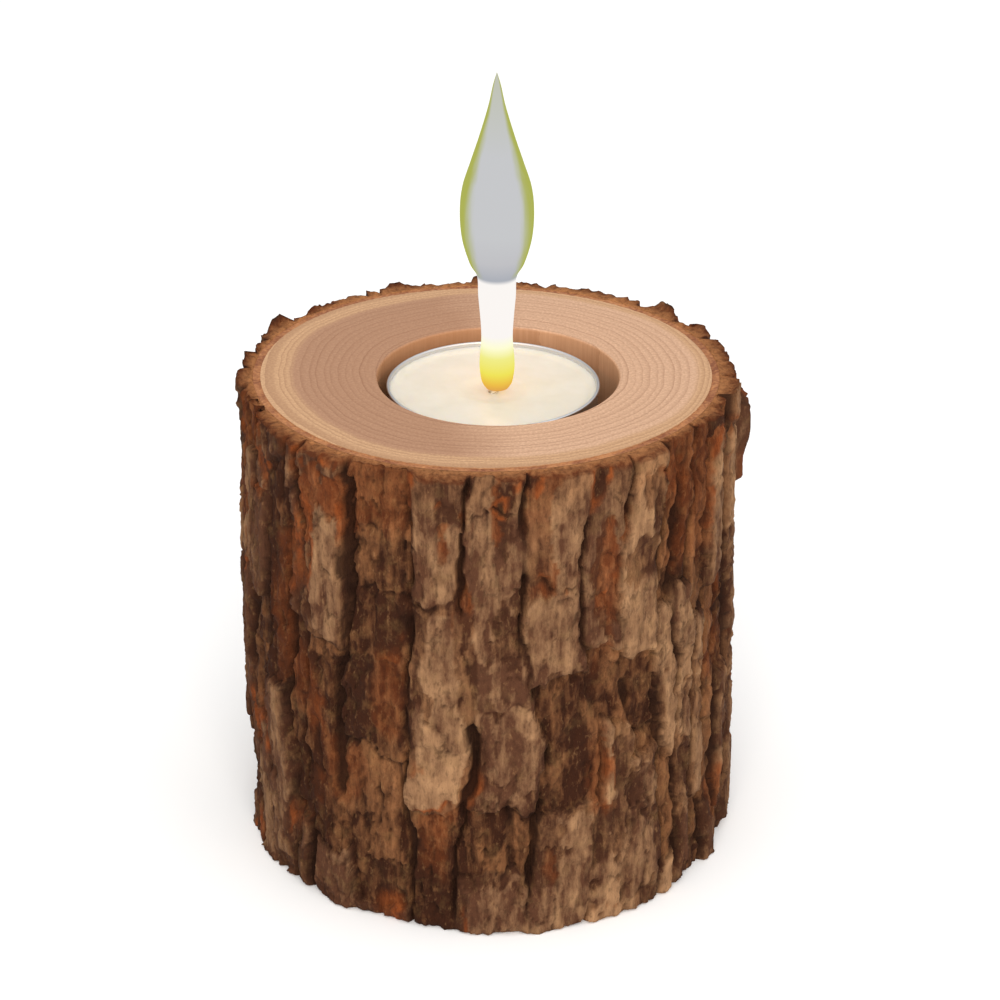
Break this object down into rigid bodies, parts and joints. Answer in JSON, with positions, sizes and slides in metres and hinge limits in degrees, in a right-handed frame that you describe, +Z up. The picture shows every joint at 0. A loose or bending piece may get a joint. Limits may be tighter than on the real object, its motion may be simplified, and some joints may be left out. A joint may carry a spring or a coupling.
{
  "type": "log tealight holder",
  "caption": "Short bark-covered log standing on end, with a lit tealight in a bore in its sawn top.",
  "frame": {"origin": "centre of the log's sawn base, on the surface it stands on", "axes": "+Z up along the log's axis, -Y towards the viewer, +X to the viewer's right, where the proud bark flake is"},
  "size_m": [0.0922, 0.0884, 0.1467],
  "materials": {
    "sawn_wood": "sawn end grain, unfinished",
    "bast": "dry inner bark, fibrous",
    "bark": "rough furrowed bark",
    "pressed_aluminium": "thin pressed foil cup, satin",
    "paraffin_wax": "cast paraffin wax, soft sheen",
    "tinned_steel": "stamped tinplate",
    "cotton_wick": "braided cotton, charred at the tip",
    "flame_glow": "glowing flame, no surface"
  },
  "bodies": {
    "log": {"log_core": "sawn_wood", "inner_bark": "bast", "outer_bark": "bark"},
    "tealight": {"tealight_cup": "pressed_aluminium"},
    "candle": {"wax_fill": "paraffin_wax", "wick_tab": "tinned_steel", "wick": "cotton_wick", "flame": "flame_glow"}
  },
  "joints": [
    {"name": "tealight_lift", "type": "slide", "parent": "log", "child": "tealight", "axis": [0, 0, 1], "range_m": [0, 0.04]},
    {"name": "candle_lift", "type": "slide", "parent": "tealight", "child": "candle", "axis": [0, 0, 1], "range_m": [0, 0.03]}
  ]
}
